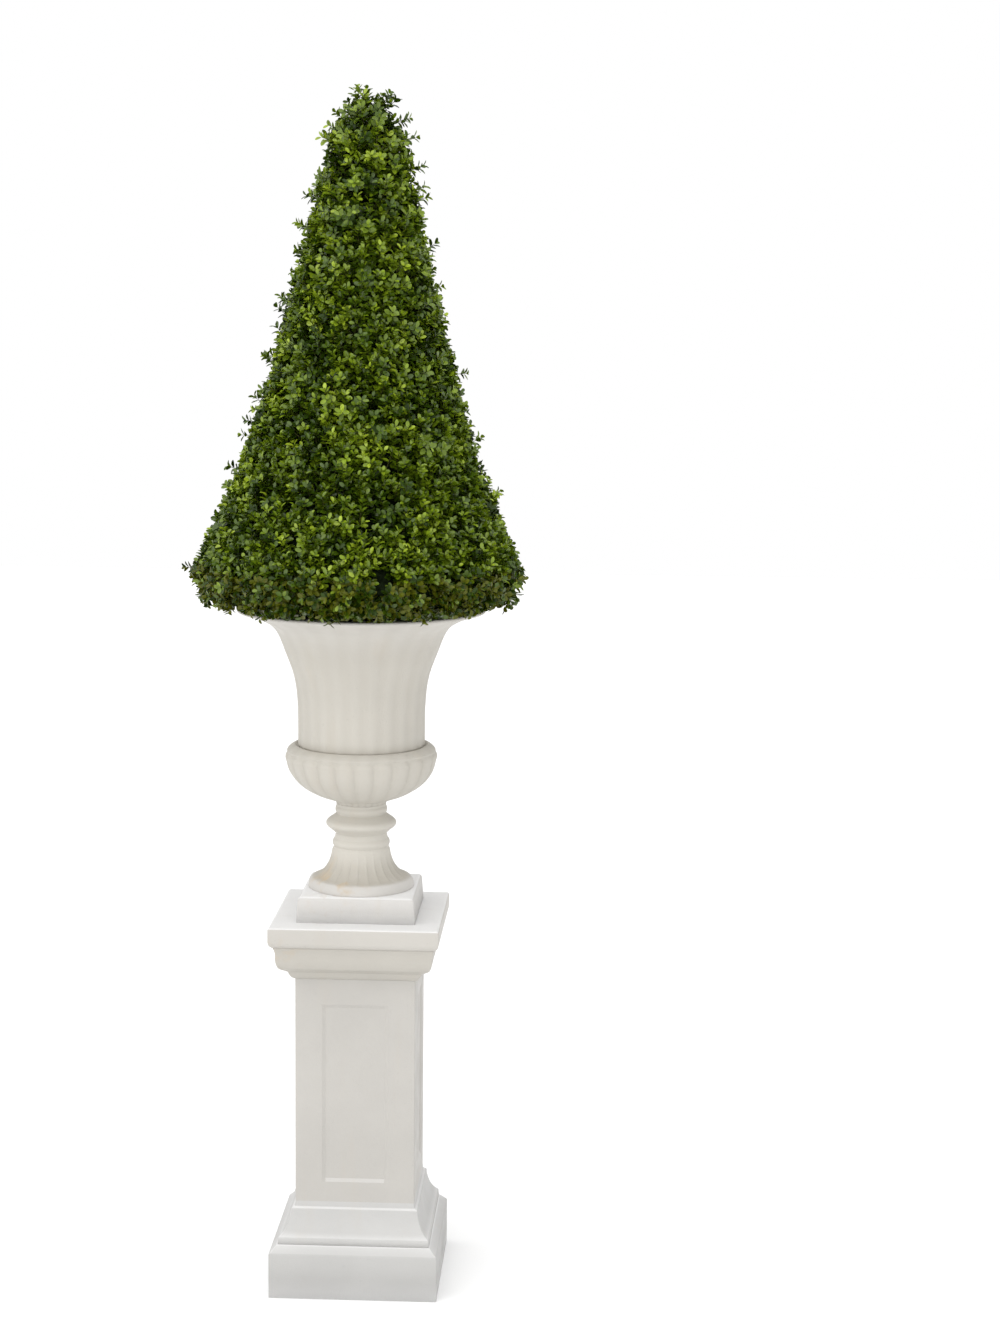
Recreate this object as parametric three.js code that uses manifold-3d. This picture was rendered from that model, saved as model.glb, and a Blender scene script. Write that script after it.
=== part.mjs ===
// A clipped boxwood cone in a classical urn on a square pedestal.
// Millimetres, +Z up. The origin is on the ground, under the centre of the pedestal.
import * as THREE from 'three';
import { mergeVertices } from 'three/addons/utils/BufferGeometryUtils.js';
import Module from 'manifold-3d';

const wasm = await Module();
wasm.setup();

// Clearance between pieces that are shaped to fit each other
const GAP = 0.3;

// Pedestal: half widths of its square sections, and heights above the ground
const PLINTH_HALF = 155;
const PLINTH_TOP = 98;
const PLINTH_BEVEL = 14;
const LEDGE_HALF = 117;
const LEDGE_TOP = 163;
const SHAFT_HALF = 110;
const SHAFT_BOTTOM = 172;
const SHAFT_TOP = 596;
const PANEL_HALF = 61;
const PANEL_BOTTOM = 210;
const PANEL_TOP = 548;
const PANEL_DEPTH = 3;
const CORNICE_HALF = 137;
const CORNICE_BOTTOM = 620;
const CAP_HALF = 155;
const CAP_FOOT_HALF = 147;
const CAP_BOTTOM = 662;
const CAP_BEVEL = 3;
const PEDESTAL_TOP = 700;

// Urn: radii and heights above the ground
const FOOT_HALF = 108.5;
const FOOT_TOP_HALF = 104;
const FOOT_TOP = 747;
const SOCLE_RADIUS = 98;
const FLARE_BOTTOM = 766;
const FLARE_BOTTOM_RADIUS = 89;
const FLARE_TOP = 816;
const FLARE_TOP_RADIUS = 54;
const LOW_RING = 831;
const LOW_RING_RADIUS = 53;
const BIG_RING = 867;
const BIG_RING_RADIUS = 65;
const TOP_RING = 892;
const TOP_RING_RADIUS = 48;
const NECK_RADIUS = 46;
const SOCLE_FLUTE_DEPTH = 5;
const BOWL_BOTTOM = 904;
const BOWL_RADIUS = 140;
const BOWL_WAIST = 990;
const BOWL_TOP = 1013;
const BOWL_LIP = 2;
const LOBE_TOP = 999;
const LOBE_DEPTH = 6;
const CUP_RADIUS = 117;
const CUP_FLOOR = 1040;
const CUP_WALL = 9;
const CUP_FLUTE_DEPTH = 3.5;
const CUP_FLUTE_TOP = 1232;
const FILL_TOP = 1250;
const RIM_RADIUS = 227;
const RIM_INNER_RADIUS = 188;
const RIM_LIP = 6;
const RIM_TOP = 1268;
const FLUTES = 24;
const URN_SIDES = 2 * FLUTES;
const HOLLOW_SIDES = FLUTES;

// Short stem inside the foot of the cone
const STEM_FOOT_RADIUS = 20;
const STEM_RADIUS = 15;
const STEM_TIP_RADIUS = 11;
const STEM_TOP = 1430;
const STEM_SIDES = 12;

// Cone of foliage: the outline that the leaf tips reach, and the core under the leaves
const CONE_TOP = 2199;
const CONE_WIDEST = 1325;
const CONE_TOP_RADIUS = 54;
const CONE_SLOPE_GAIN = 190;
const CONE_FLARE_GAIN = 68;
const CONE_FLARE_POWER = 4;
const CROWN_SHARE = 0.07;
const CONE_FOOT = RIM_TOP + GAP;
const CONE_FOOT_RADIUS = 204;
// The cone leans a little towards +X as it rises, and is upright over the pedestal at one height
const LEAN = 0.02;
const LEAN_FROM = 1650;
const LEAF_DEPTH = 21;
const LEAF_REACH = 16;
const CORE_SIDES = 30;
const CORE_ROWS = 20;
const LUMP_HEIGHT = 9;

// Sprigs of boxwood leaves on the core, larger than life because they are fewer
const SPRIGS = 104;
// Loose sprigs that stand out of the clipped outline:
// degrees round the cone, height of the root, degrees above level, extra reach
const STRAYS = [
  [0, 2132, 15, 28], [10, 2146, 45, 20], [150, 2156, 70, 6], [-100, 2154, 60, 10], [75, 2150, 55, 12],
  [-6, 2045, 20, 14], [8, 1996, 15, 10], [180, 1508, 20, 12], [184, 1336, 5, 6],
];
const SPRIG_LENGTH = 60;
const SPRIG_ROOT_DEPTH = 40;
const TWIG_RADIUS = 4;
const TWIG_TIP_RADIUS = 2.4;
const LEAF_PAIRS = 2;
const FIRST_PAIR = 0.82;
const LAST_PAIR = 0.96;
const PAIR_TURN = 90;
const LOW_SPREAD = 72;
const TIP_SPREAD = 56;
const LEAF_ROOT = 1.2;
const LEAF_LENGTH = 54;
const LEAF_WIDTH = 36;
const LEAF_THICKNESS = 4.6;
const GOLDEN_ANGLE = Math.PI * (3 - Math.sqrt(5));
const SEED = 20260;

const WHITE_URN = new THREE.MeshStandardMaterial({ color: 0xd5d0c8, roughness: 0.7, metalness: 0 });
const WHITE_PEDESTAL = new THREE.MeshStandardMaterial({ color: 0xdedcd8, roughness: 0.6, metalness: 0 });
const DARK_FILL = new THREE.MeshStandardMaterial({ color: 0x3a332b, roughness: 0.95, metalness: 0 });
const BARK = new THREE.MeshStandardMaterial({ color: 0x6a5a45, roughness: 0.9, metalness: 0 });
const LEAF_GREEN = new THREE.MeshStandardMaterial({ color: 0x4a6b1f, roughness: 0.55, metalness: 0 });

// Geometry to solid and back

// A closed geometry as a solid that can be joined and cut.
function solidOf(geometry) {
  const bare = new THREE.BufferGeometry();
  bare.setAttribute('position', geometry.getAttribute('position'));
  bare.setIndex(geometry.index);
  const merged = mergeVertices(bare, 1e-3);
  const corners = merged.index.array;
  const kept = [];
  for (let i = 0; i < corners.length; i += 3) {
    const [a, b, c] = corners.slice(i, i + 3);
    if (a !== b && b !== c && c !== a) kept.push(a, b, c);
  }
  return new wasm.Manifold(new wasm.Mesh({
    numProp: 3,
    vertProperties: merged.attributes.position.array,
    triVerts: new Uint32Array(kept),
  }));
}

function geometryOf(solid) {
  const mesh = solid.getMesh();
  const geometry = new THREE.BufferGeometry();
  geometry.setAttribute('position', new THREE.BufferAttribute(mesh.vertProperties, 3));
  geometry.setIndex(new THREE.BufferAttribute(mesh.triVerts, 1));
  return geometry;
}

function node(name, solid, material) {
  const geometry = geometryOf(solid).toNonIndexed();
  geometry.computeVertexNormals();
  const mesh = new THREE.Mesh(geometry, material);
  mesh.name = name;
  return mesh;
}

// The largest of the bodies that a cut leaves.
function mainBody(solid) {
  const bodies = solid.decompose();
  return bodies.reduce((best, body) => (body.volume() > best.volume() ? body : best));
}

// Turned and square-section shapes, from an outline of (radius or half width, height) points

function turned(outline, sides) {
  return new THREE.LatheGeometry(outline, sides).rotateX(Math.PI / 2);
}

function squareTurned(outline) {
  const corners = outline.map((p) => new THREE.Vector2(p.x * Math.SQRT2, p.y));
  return new THREE.LatheGeometry(corners, 4, Math.PI / 4).rotateX(Math.PI / 2);
}

// Presses evenly spaced upright grooves into a turned shape; depthAt gives the depth at a height.
function groove(geometry, depthAt) {
  const place = geometry.getAttribute('position');
  for (let i = 0; i < place.count; i += 1) {
    const radius = Math.hypot(place.getX(i), place.getY(i));
    const angle = Math.atan2(place.getY(i), place.getX(i));
    const share = 0.5 - 0.5 * Math.cos(FLUTES * angle);
    const keep = radius > 0 ? 1 - (share * depthAt(place.getZ(i))) / radius : 1;
    place.setXY(i, place.getX(i) * keep, place.getY(i) * keep);
  }
  return geometry;
}

// Rises from 0 at one height to 1 at another, and stays there.
function ramp(height, from, to) {
  return THREE.MathUtils.smoothstep((height - from) / (to - from), 0, 1);
}

// Pedestal

function pedestalPlinth() {
  const outline = new THREE.Path();
  outline.moveTo(0, 0);
  outline.lineTo(PLINTH_HALF, 0);
  outline.lineTo(PLINTH_HALF, PLINTH_TOP - PLINTH_BEVEL);
  outline.lineTo(PLINTH_HALF - PLINTH_BEVEL, PLINTH_TOP);
  outline.lineTo(0, PLINTH_TOP);
  return solidOf(squareTurned(outline.getPoints()));
}

// A hollow flare between the plinth and the shaft, under a narrow ledge.
function pedestalBaseMoulding() {
  const outline = new THREE.Path();
  outline.moveTo(0, PLINTH_TOP);
  outline.lineTo(PLINTH_HALF - PLINTH_BEVEL - 1, PLINTH_TOP);
  outline.lineTo(PLINTH_HALF - PLINTH_BEVEL - 2, PLINTH_TOP + 12);
  outline.quadraticCurveTo(LEDGE_HALF + 3, LEDGE_TOP - 38, LEDGE_HALF, LEDGE_TOP - 4);
  outline.lineTo(SHAFT_HALF + 1, LEDGE_TOP);
  outline.lineTo(SHAFT_HALF, SHAFT_BOTTOM);
  outline.lineTo(0, SHAFT_BOTTOM);
  return solidOf(squareTurned(outline.getPoints(5)));
}

// The square shaft, with a shallow sunk panel on each of its four faces.
function pedestalShaft() {
  const height = SHAFT_TOP - SHAFT_BOTTOM;
  const block = new THREE.BoxGeometry(2 * SHAFT_HALF, 2 * SHAFT_HALF, height);
  block.translate(0, 0, SHAFT_BOTTOM + height / 2);
  let shaft = solidOf(block);
  for (let face = 0; face < 4; face += 1) {
    const panel = new THREE.BoxGeometry(2 * PANEL_HALF, 2 * PANEL_DEPTH, PANEL_TOP - PANEL_BOTTOM);
    panel.translate(0, SHAFT_HALF, (PANEL_TOP + PANEL_BOTTOM) / 2);
    panel.rotateZ((face * Math.PI) / 2);
    shaft = shaft.subtract(solidOf(panel));
  }
  return shaft;
}

// Fillet, small round, ledge and sloping cyma under the cap slab.
function pedestalCapMoulding() {
  const outline = new THREE.Path();
  outline.moveTo(0, SHAFT_TOP);
  outline.lineTo(SHAFT_HALF + 1, SHAFT_TOP);
  outline.quadraticCurveTo(SHAFT_HALF + 9, SHAFT_TOP + 4, SHAFT_HALF + 12, CORNICE_BOTTOM - 9);
  outline.lineTo(CORNICE_HALF, CORNICE_BOTTOM);
  const swell = new THREE.Vector2(CORNICE_HALF + 7, CORNICE_BOTTOM + 8);
  const hollow = new THREE.Vector2(CORNICE_HALF + 5, CAP_BOTTOM - 14);
  outline.bezierCurveTo(swell.x, swell.y, hollow.x, hollow.y, CAP_FOOT_HALF, CAP_BOTTOM);
  outline.lineTo(0, CAP_BOTTOM);
  return solidOf(squareTurned(outline.getPoints(5)));
}

function pedestalCapSlab() {
  const outline = new THREE.Path();
  outline.moveTo(0, CAP_BOTTOM);
  outline.lineTo(CAP_FOOT_HALF, CAP_BOTTOM);
  outline.quadraticCurveTo(CAP_HALF - 1, CAP_BOTTOM + 3, CAP_HALF, CAP_BOTTOM + 12);
  outline.lineTo(CAP_HALF, PEDESTAL_TOP - CAP_BEVEL);
  outline.lineTo(CAP_HALF - CAP_BEVEL, PEDESTAL_TOP);
  outline.lineTo(0, PEDESTAL_TOP);
  return solidOf(squareTurned(outline.getPoints(4)));
}

// Urn

function urnFootBlock() {
  const outline = new THREE.Path();
  outline.moveTo(0, PEDESTAL_TOP);
  outline.lineTo(FOOT_HALF, PEDESTAL_TOP);
  outline.lineTo(FOOT_TOP_HALF + 2, FOOT_TOP - 8);
  outline.quadraticCurveTo(FOOT_TOP_HALF + 1, FOOT_TOP - 1, FOOT_TOP_HALF - 5, FOOT_TOP);
  outline.lineTo(0, FOOT_TOP);
  return solidOf(squareTurned(outline.getPoints(3)));
}

// A rounded ring that stands out of a neck; the curve's middle point lies twice as far out as its nose.
function addRing(outline, height, radius, rise, below, above) {
  outline.lineTo(below, height - rise);
  outline.quadraticCurveTo(2 * radius - (below + above) / 2, height, above, height + rise);
}

// The round foot: a low disc, a fluted flare, and a neck with three rings.
function urnSocle() {
  const outline = new THREE.Path();
  outline.moveTo(0, FOOT_TOP);
  outline.lineTo(SOCLE_RADIUS, FOOT_TOP);
  outline.quadraticCurveTo(SOCLE_RADIUS, FLARE_BOTTOM - 4, FLARE_BOTTOM_RADIUS, FLARE_BOTTOM);
  outline.quadraticCurveTo(FLARE_TOP_RADIUS + 5, FLARE_BOTTOM + 10, FLARE_TOP_RADIUS, FLARE_TOP);
  addRing(outline, LOW_RING, LOW_RING_RADIUS, 8, FLARE_TOP_RADIUS - 4, NECK_RADIUS + 3);
  outline.lineTo(NECK_RADIUS + 1, BIG_RING - 19);
  addRing(outline, BIG_RING, BIG_RING_RADIUS, 10, NECK_RADIUS + 11, NECK_RADIUS + 10);
  addRing(outline, TOP_RING, TOP_RING_RADIUS, 7, NECK_RADIUS - 1, NECK_RADIUS);
  outline.lineTo(NECK_RADIUS, BOWL_BOTTOM);
  outline.lineTo(0, BOWL_BOTTOM);
  const fade = (z) => 1 - 0.8 * ramp(z, FLARE_BOTTOM + 6, FLARE_TOP);
  const flutes = (z) => SOCLE_FLUTE_DEPTH * ramp(z, FLARE_BOTTOM - 2, FLARE_BOTTOM + 4) * fade(z);
  return solidOf(groove(turned(outline.getPoints(3), URN_SIDES), flutes));
}

// The lower bowl: a half round of upright lobes under a narrow rounded lip.
function urnBowl() {
  const outline = new THREE.Path();
  outline.moveTo(0, BOWL_BOTTOM);
  outline.lineTo(NECK_RADIUS, BOWL_BOTTOM);
  const centre = 4;
  const across = BOWL_RADIUS - BOWL_LIP - centre;
  const down = BOWL_WAIST - BOWL_BOTTOM - 4;
  outline.absellipse(centre, BOWL_WAIST - 2, across, down, -0.39 * Math.PI, -0.03 * Math.PI);
  outline.lineTo(BOWL_RADIUS, BOWL_WAIST);
  outline.quadraticCurveTo(BOWL_RADIUS + 1, BOWL_TOP - 4, CUP_RADIUS + 6, BOWL_TOP + BOWL_LIP);
  outline.lineTo(CUP_RADIUS + 3, BOWL_TOP);
  outline.lineTo(0, BOWL_TOP);
  const deepen = (z) => 0.35 + 0.65 * ramp(z, BOWL_BOTTOM, BOWL_BOTTOM + 56);
  const lobes = (z) => LOBE_DEPTH * (1 - ramp(z, LOBE_TOP - 4, LOBE_TOP + 5)) * deepen(z);
  return solidOf(groove(turned(outline.getPoints(4), URN_SIDES), lobes));
}

// The wall of the cup, outside from its foot to the lip.
function cupOutside() {
  return new THREE.SplineCurve([
    new THREE.Vector2(CUP_RADIUS, BOWL_TOP),
    new THREE.Vector2(CUP_RADIUS + 1, 1090),
    new THREE.Vector2(CUP_RADIUS + 7, 1140),
    new THREE.Vector2(CUP_RADIUS + 22, 1184),
    new THREE.Vector2(CUP_RADIUS + 42, RIM_TOP - 39),
    new THREE.Vector2(CUP_RADIUS + 73, RIM_TOP - 18),
    new THREE.Vector2(RIM_RADIUS, RIM_TOP - RIM_LIP),
  ]).getPoints(13);
}

// The hollow of the cup, from its floor to the rim.
function cupInside() {
  return new THREE.SplineCurve([
    new THREE.Vector2(CUP_RADIUS - CUP_WALL, CUP_FLOOR),
    new THREE.Vector2(CUP_RADIUS + 4 - CUP_WALL, 1130),
    new THREE.Vector2(CUP_RADIUS + 29 - CUP_WALL, 1205),
    new THREE.Vector2(RIM_INNER_RADIUS - 22, FILL_TOP),
    new THREE.Vector2(RIM_INNER_RADIUS, RIM_TOP),
  ]).getPoints(8);
}

// The bell-shaped cup, fluted outside, with a broad flat rim over a thin lip.
function urnCup() {
  const outside = [
    new THREE.Vector2(0, BOWL_TOP),
    ...cupOutside(),
    new THREE.Vector2(RIM_RADIUS + 1.5, RIM_TOP - RIM_LIP / 2),
    new THREE.Vector2(RIM_RADIUS, RIM_TOP),
    new THREE.Vector2(0, RIM_TOP),
  ];
  const hollow = [
    new THREE.Vector2(0, CUP_FLOOR),
    ...cupInside(),
    new THREE.Vector2(RIM_INNER_RADIUS, RIM_TOP + 10),
    new THREE.Vector2(0, RIM_TOP + 10),
  ];
  const flutes = (z) => CUP_FLUTE_DEPTH * (1 - ramp(z, CUP_FLUTE_TOP - 27, CUP_FLUTE_TOP));
  const body = solidOf(groove(turned(outside, URN_SIDES), flutes));
  return body.subtract(solidOf(turned(hollow, HOLLOW_SIDES)));
}

// What fills the cup, under the cone.
function urnFill() {
  const wall = cupInside().filter((p) => p.y < FILL_TOP - 1);
  const outline = [
    new THREE.Vector2(0, CUP_FLOOR + GAP),
    ...wall.map((p) => new THREE.Vector2(p.x - 2 * GAP, Math.max(p.y, CUP_FLOOR + GAP))),
    new THREE.Vector2(RIM_INNER_RADIUS - 26, FILL_TOP),
    new THREE.Vector2(0, FILL_TOP),
  ];
  return solidOf(turned(outline, HOLLOW_SIDES));
}

// Stem

// The stem stands on the fill, a little wider at its foot; grow is the clearance of its pocket.
function stem(grow) {
  const outline = [
    new THREE.Vector2(0, FILL_TOP + GAP - grow),
    new THREE.Vector2(STEM_FOOT_RADIUS + grow, FILL_TOP + GAP - grow),
    new THREE.Vector2(STEM_RADIUS + grow, FILL_TOP + 30),
    new THREE.Vector2(STEM_TIP_RADIUS + grow, STEM_TOP + grow),
    new THREE.Vector2(0, STEM_TOP + grow),
  ];
  return solidOf(turned(outline, STEM_SIDES));
}

// Foliage

// Repeatable random numbers from 0 to 1.
function seededRandom(seed) {
  let state = seed;
  return () => {
    state = (state + 0x6d2b79f5) | 0;
    let mixed = Math.imul(state ^ (state >>> 15), 1 | state);
    mixed = (mixed + Math.imul(mixed ^ (mixed >>> 7), 61 | mixed)) ^ mixed;
    return ((mixed ^ (mixed >>> 14)) >>> 0) / 4294967296;
  };
}

// How far the cone's axis lies towards +X at a height.
function leanAt(height) {
  return LEAN * (height - LEAN_FROM);
}

// Radius that the leaf tips reach at a height: a steep cone that flares towards its foot.
function coneRadius(height) {
  const down = THREE.MathUtils.clamp((CONE_TOP - height) / (CONE_TOP - CONE_WIDEST), 0, 1);
  const crown = Math.sqrt(Math.min(1, down / CROWN_SHARE));
  return crown * (CONE_TOP_RADIUS + CONE_SLOPE_GAIN * down + CONE_FLARE_GAIN * down ** CONE_FLARE_POWER);
}

// Outline of the core under the leaves, from the foot to the top.
function coreOutline() {
  const widest = coneRadius(CONE_WIDEST) - LEAF_DEPTH;
  const points = [
    new THREE.Vector2(0, CONE_FOOT),
    new THREE.Vector2(CONE_FOOT_RADIUS, CONE_FOOT),
    new THREE.Vector2(widest - 34, CONE_FOOT + 15),
    new THREE.Vector2(widest - 6, CONE_FOOT + 34),
  ];
  const top = CONE_TOP - 1.6 * LEAF_DEPTH;
  for (let row = 0; row <= CORE_ROWS; row += 1) {
    const height = CONE_WIDEST + ((top - CONE_WIDEST) * row) / CORE_ROWS;
    points.push(new THREE.Vector2(coneRadius(height) - LEAF_DEPTH, height));
  }
  points.push(new THREE.Vector2(0, top + 6));
  return points;
}

// How far the core swells at a place, as a clipped cone does.
function lump(angle, z) {
  const broad = Math.sin(4 * angle - z / 53) + Math.sin(7 * angle + z / 31);
  const fine = Math.sin(11 * angle - z / 19);
  return (LUMP_HEIGHT * (broad + fine)) / 3;
}

function core() {
  const geometry = turned(coreOutline(), CORE_SIDES);
  const place = geometry.getAttribute('position');
  for (let i = 0; i < place.count; i += 1) {
    const [x, y, z] = [place.getX(i), place.getY(i), place.getZ(i)];
    const radius = Math.hypot(x, y);
    const swells = radius > 1 && z > CONE_FOOT + 1;
    const keep = swells ? 1 + lump(Math.atan2(y, x), z) / radius : 1;
    place.setXY(i, x * keep + leanAt(z), y * keep);
  }
  return solidOf(geometry);
}

// Roots spread evenly over the core, each with the way its twig grows: out, and lifted a little.
function sprigPlaces(random) {
  const outline = coreOutline().slice(2, -1);
  const areas = [0];
  for (let i = 1; i < outline.length; i += 1) {
    const [a, b] = [outline[i - 1], outline[i]];
    areas.push(areas[i - 1] + a.distanceTo(b) * (a.x + b.x));
  }
  const whole = areas[areas.length - 1];
  const places = [];
  for (let n = 0; n < SPRIGS; n += 1) {
    const target = ((n + 0.5 + 0.3 * (random() - 0.5)) / SPRIGS) * whole;
    const i = areas.findIndex((area) => area >= target);
    const [a, b] = [outline[i - 1], outline[i]];
    const at = a.clone().lerp(b, (target - areas[i - 1]) / (areas[i] - areas[i - 1]));
    const angle = n * GOLDEN_ANGLE + 0.25 * (random() - 0.5);
    const slope = b.clone().sub(a).normalize();
    const lift = 0.3 + 0.3 * random();
    places.push({
      point: new THREE.Vector3(at.x * Math.cos(angle) + leanAt(at.y), at.x * Math.sin(angle), at.y),
      along: new THREE.Vector3(slope.y * Math.cos(angle), slope.y * Math.sin(angle), lift - slope.x),
      stray: 0,
    });
  }
  return places;
}

// The loose sprigs, rooted at the core's surface too.
function strayPlaces() {
  return STRAYS.map(([degrees, height, rise, stray]) => {
    const angle = THREE.MathUtils.degToRad(degrees);
    const radius = coneRadius(height) - LEAF_DEPTH;
    const [x, y] = [radius * Math.cos(angle) + leanAt(height), radius * Math.sin(angle)];
    const climb = Math.tan(THREE.MathUtils.degToRad(rise));
    return {
      point: new THREE.Vector3(x, y, height),
      along: new THREE.Vector3(Math.cos(angle), Math.sin(angle), climb),
      stray,
    };
  });
}

// A box-leaf of eight faces along +X, its root just behind the origin, widest past its middle.
function leafGeometry(size) {
  const leaf = new THREE.OctahedronGeometry(1);
  leaf.scale((size * LEAF_LENGTH) / 2, (size * LEAF_WIDTH) / 2, LEAF_THICKNESS / 2);
  const place = leaf.getAttribute('position');
  for (let i = 0; i < place.count; i += 1) {
    const across = Math.abs(place.getY(i)) / (size * LEAF_WIDTH);
    place.setX(i, place.getX(i) + size * LEAF_LENGTH * (0.5 + 0.16 * across) - LEAF_ROOT);
  }
  return leaf;
}

// True where a point lies in the cone's own space, clear of the rim of the urn.
function inSpace(point, reach) {
  const radius = Math.hypot(point.x - leanAt(point.z), point.y);
  const within = radius < coneRadius(Math.max(point.z, CONE_WIDEST)) + reach || point.z > CONE_TOP - 45;
  const pastRim = Math.hypot(point.x, point.y) > RIM_RADIUS + 8 && point.z > CONE_FOOT - 14;
  return within && point.z < CONE_TOP && (point.z > CONE_FOOT + 4 || pastRim);
}

// One sprig: a three-sided twig rooted in the core, with crossed pairs of leaves.
function sprig(place, random) {
  const sway = new THREE.Vector3(random() - 0.5, random() - 0.5, random() - 0.5).multiplyScalar(0.4);
  const along = place.along.clone().normalize().add(sway).normalize();
  const foot = place.point.clone().addScaledVector(along, -SPRIG_ROOT_DEPTH);
  const length = SPRIG_LENGTH * (0.95 + 0.1 * random()) + place.stray;
  const turn = new THREE.Quaternion().setFromUnitVectors(new THREE.Vector3(0, 1, 0), along);
  const twig = new THREE.CylinderGeometry(TWIG_TIP_RADIUS, TWIG_RADIUS, length, 3);
  twig.translate(0, length / 2, 0).applyQuaternion(turn).translate(foot.x, foot.y, foot.z);
  let solid = solidOf(twig);
  const side = new THREE.Vector3(1, 0, 0).applyQuaternion(turn);
  const spin = 2 * Math.PI * random();
  for (let leaf = 0; leaf < 2 * LEAF_PAIRS; leaf += 1) {
    const pair = Math.floor(leaf / 2);
    const rise = pair / (LEAF_PAIRS - 1);
    const size = (1 - 0.2 * rise) * (0.9 + 0.2 * random());
    const spread = THREE.MathUtils.degToRad(THREE.MathUtils.lerp(LOW_SPREAD, TIP_SPREAD, rise));
    const around = spin + THREE.MathUtils.degToRad(pair * PAIR_TURN) + leaf * Math.PI;
    const outward = side.clone().applyAxisAngle(along, around);
    const reach = along.clone().multiplyScalar(Math.cos(spread)).addScaledVector(outward, Math.sin(spread));
    const across = new THREE.Vector3().crossVectors(along, outward).normalize();
    const face = new THREE.Vector3().crossVectors(reach, across);
    const share = THREE.MathUtils.lerp(FIRST_PAIR, LAST_PAIR, rise);
    const base = foot.clone().addScaledVector(along, share * length);
    const frame = new THREE.Matrix4().makeBasis(reach, across, face).setPosition(base);
    const tip = base.clone().addScaledVector(reach, size * LEAF_LENGTH);
    const middle = base.clone().addScaledVector(reach, 0.6 * size * LEAF_LENGTH);
    const fits = [tip, middle].every((point) => inSpace(point, LEAF_REACH + place.stray));
    if (fits) solid = solid.add(solidOf(leafGeometry(size).applyMatrix4(frame)));
  }
  return solid;
}

function foliage() {
  const random = seededRandom(SEED);
  let mass = core();
  [...sprigPlaces(random), ...strayPlaces()].forEach((place) => {
    mass = mass.add(sprig(place, random));
  });
  return mainBody(mass.subtract(stem(GAP)));
}

const topiary = new THREE.Group();
topiary.add(
  node('pedestal_plinth', pedestalPlinth(), WHITE_PEDESTAL),
  node('pedestal_base_moulding', pedestalBaseMoulding(), WHITE_PEDESTAL),
  node('pedestal_shaft', pedestalShaft(), WHITE_PEDESTAL),
  node('pedestal_cap_moulding', pedestalCapMoulding(), WHITE_PEDESTAL),
  node('pedestal_cap_slab', pedestalCapSlab(), WHITE_PEDESTAL),
  node('urn_foot_block', urnFootBlock(), WHITE_URN),
  node('urn_socle', urnSocle(), WHITE_URN),
  node('urn_bowl', urnBowl(), WHITE_URN),
  node('urn_cup', urnCup(), WHITE_URN),
  node('urn_fill', urnFill(), DARK_FILL),
  node('stem', stem(0), BARK),
  node('foliage', foliage(), LEAF_GREEN),
);

export default topiary;
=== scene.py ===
"""Looks of a clipped boxwood cone in a fluted urn on a square pedestal. Metres, +Z up."""
import math

import bpy
import numpy as np
from mathutils import Matrix, Vector


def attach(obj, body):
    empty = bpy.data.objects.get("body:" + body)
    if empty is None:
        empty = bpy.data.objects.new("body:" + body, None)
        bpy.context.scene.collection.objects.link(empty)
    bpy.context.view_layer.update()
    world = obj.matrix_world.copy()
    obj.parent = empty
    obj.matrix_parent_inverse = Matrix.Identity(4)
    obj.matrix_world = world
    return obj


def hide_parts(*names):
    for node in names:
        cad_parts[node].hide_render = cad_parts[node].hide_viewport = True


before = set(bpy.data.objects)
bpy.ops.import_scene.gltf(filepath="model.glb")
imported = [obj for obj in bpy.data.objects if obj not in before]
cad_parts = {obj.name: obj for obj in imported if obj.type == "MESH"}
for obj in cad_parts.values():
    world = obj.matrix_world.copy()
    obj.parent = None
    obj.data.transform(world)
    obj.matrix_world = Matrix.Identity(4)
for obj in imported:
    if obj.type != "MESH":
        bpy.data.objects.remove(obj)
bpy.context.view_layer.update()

# Photograph's view: where the camera stands, which way it looks, and its focal length in image heights
CAMERA_PLACE = (0.441, -4.512, 1.833)
CAMERA_PAN = -2.37
CAMERA_TILT = 8.45
CAMERA_ROLL = 0.60
FOCAL_HEIGHTS = 2492 / 1333
SENSOR = 36.0

# Pedestal: half widths of its square sections, and heights above the ground
PLINTH_HALF = 0.155
PLINTH_TOP = 0.098
PLINTH_BEVEL = 0.014
LEDGE_HALF = 0.117
LEDGE_TOP = 0.163
SHAFT_HALF = 0.110
SHAFT_BOTTOM = 0.172
SHAFT_TOP = 0.596
PANEL_HALF = 0.061
PANEL_BOTTOM = 0.210
PANEL_TOP = 0.548
PANEL_DEPTH = 0.003
PANEL_SLOPE = 0.0065
CORNICE_HALF = 0.137
CORNICE_BOTTOM = 0.620
CAP_HALF = 0.155
CAP_FOOT_HALF = 0.147
CAP_BOTTOM = 0.662
CAP_BEVEL = 0.003
PEDESTAL_TOP = 0.700
# Radii of the corners between faces, of the edges of a moulding, and of the edges of the plinth
ARRIS = 0.0016
MOULDING_EDGE = 0.0018
PLINTH_EDGE = 0.0025
# Angle between faces, in degrees, from which an edge of the shaft stays sharp
PANEL_SHARP = 14

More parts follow.
